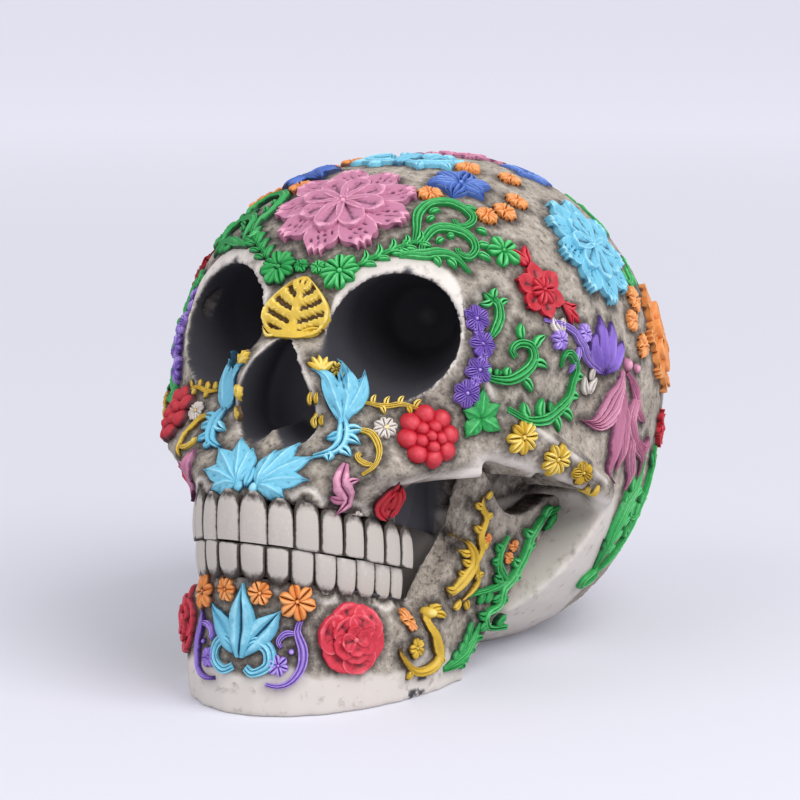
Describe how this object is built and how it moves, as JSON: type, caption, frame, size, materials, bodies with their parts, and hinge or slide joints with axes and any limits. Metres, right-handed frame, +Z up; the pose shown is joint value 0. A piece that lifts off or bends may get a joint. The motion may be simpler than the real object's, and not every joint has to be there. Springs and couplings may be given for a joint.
{
  "type": "sugar skull ornament",
  "caption": "Near life-size cast resin skull with a clenched jaw, covered in painted relief flowers, leaves and scrolls; a standing Day of the Dead decoration.",
  "frame": {"origin": "middle of the box around the skull, on the surface it stands on", "axes": "+Z up; the face looks along -Y; +X is the skull's own left side"},
  "size_m": [0.1414, 0.2019, 0.1431],
  "materials": {
    "bone": "painted matt resin, stone grey with bare white edges",
    "tooth": "painted matt resin, off-white with a dark wash",
    "pink": "satin paint",
    "sky_blue": "satin paint",
    "cobalt": "satin paint",
    "green": "satin paint",
    "red": "satin paint",
    "rose": "satin paint",
    "purple": "satin paint",
    "orange": "satin paint",
    "yellow": "satin paint"
  },
  "bodies": {
    "root": {"cranium": "bone", "mandible": "bone", "upper_teeth": "tooth", "lower_teeth": "tooth", "forehead_rosette": "pink", "crown_scroll": "sky_blue", "cobalt_flower_left": "cobalt", "cobalt_flower_right": "cobalt", "brow_scroll_left": "green", "brow_scroll_right": "green", "brow_flower_left": "green", "brow_flower_right": "green", "nose_palm": "yellow", "nose_leaf_left": "sky_blue", "nose_leaf_right": "sky_blue", "lip_leaves": "sky_blue", "cheek_flower_left": "red", "cheek_flower_right": "red", "ivy_leaf_left": "green", "ivy_leaf_right": "green", "arch_sprig_left": "yellow", "arch_sprig_right": "yellow", "rosebud_left": "red", "rosebud_right": "red", "rim_sprig_left": "purple", "rim_sprig_right": "purple", "hibiscus_left": "red", "hibiscus_right": "red", "blue_rosette_left": "sky_blue", "blue_rosette_right": "sky_blue", "spiral_vine_left": "green", "spiral_vine_right": "green", "lower_vine_left": "green", "lower_vine_right": "green", "tulip_left": "purple", "tulip_right": "purple", "acanthus_left": "pink", "acanthus_right": "pink", "orange_rosette_left": "orange", "orange_rosette_right": "orange", "rear_leaf_left": "green", "rear_leaf_right": "green", "back_rosette": "pink", "chin_lily": "sky_blue", "chin_flower_left": "orange", "chin_flower_right": "orange", "chin_scroll_left": "purple", "chin_scroll_right": "purple", "rose_left": "rose", "rose_right": "rose", "swan_scroll_left": "yellow", "swan_scroll_right": "yellow", "ramus_scroll_left": "yellow", "ramus_scroll_right": "yellow", "ramus_vine_left": "green", "ramus_vine_right": "green", "angle_leaf_left": "green", "angle_leaf_right": "green"}
  },
  "joints": []
}
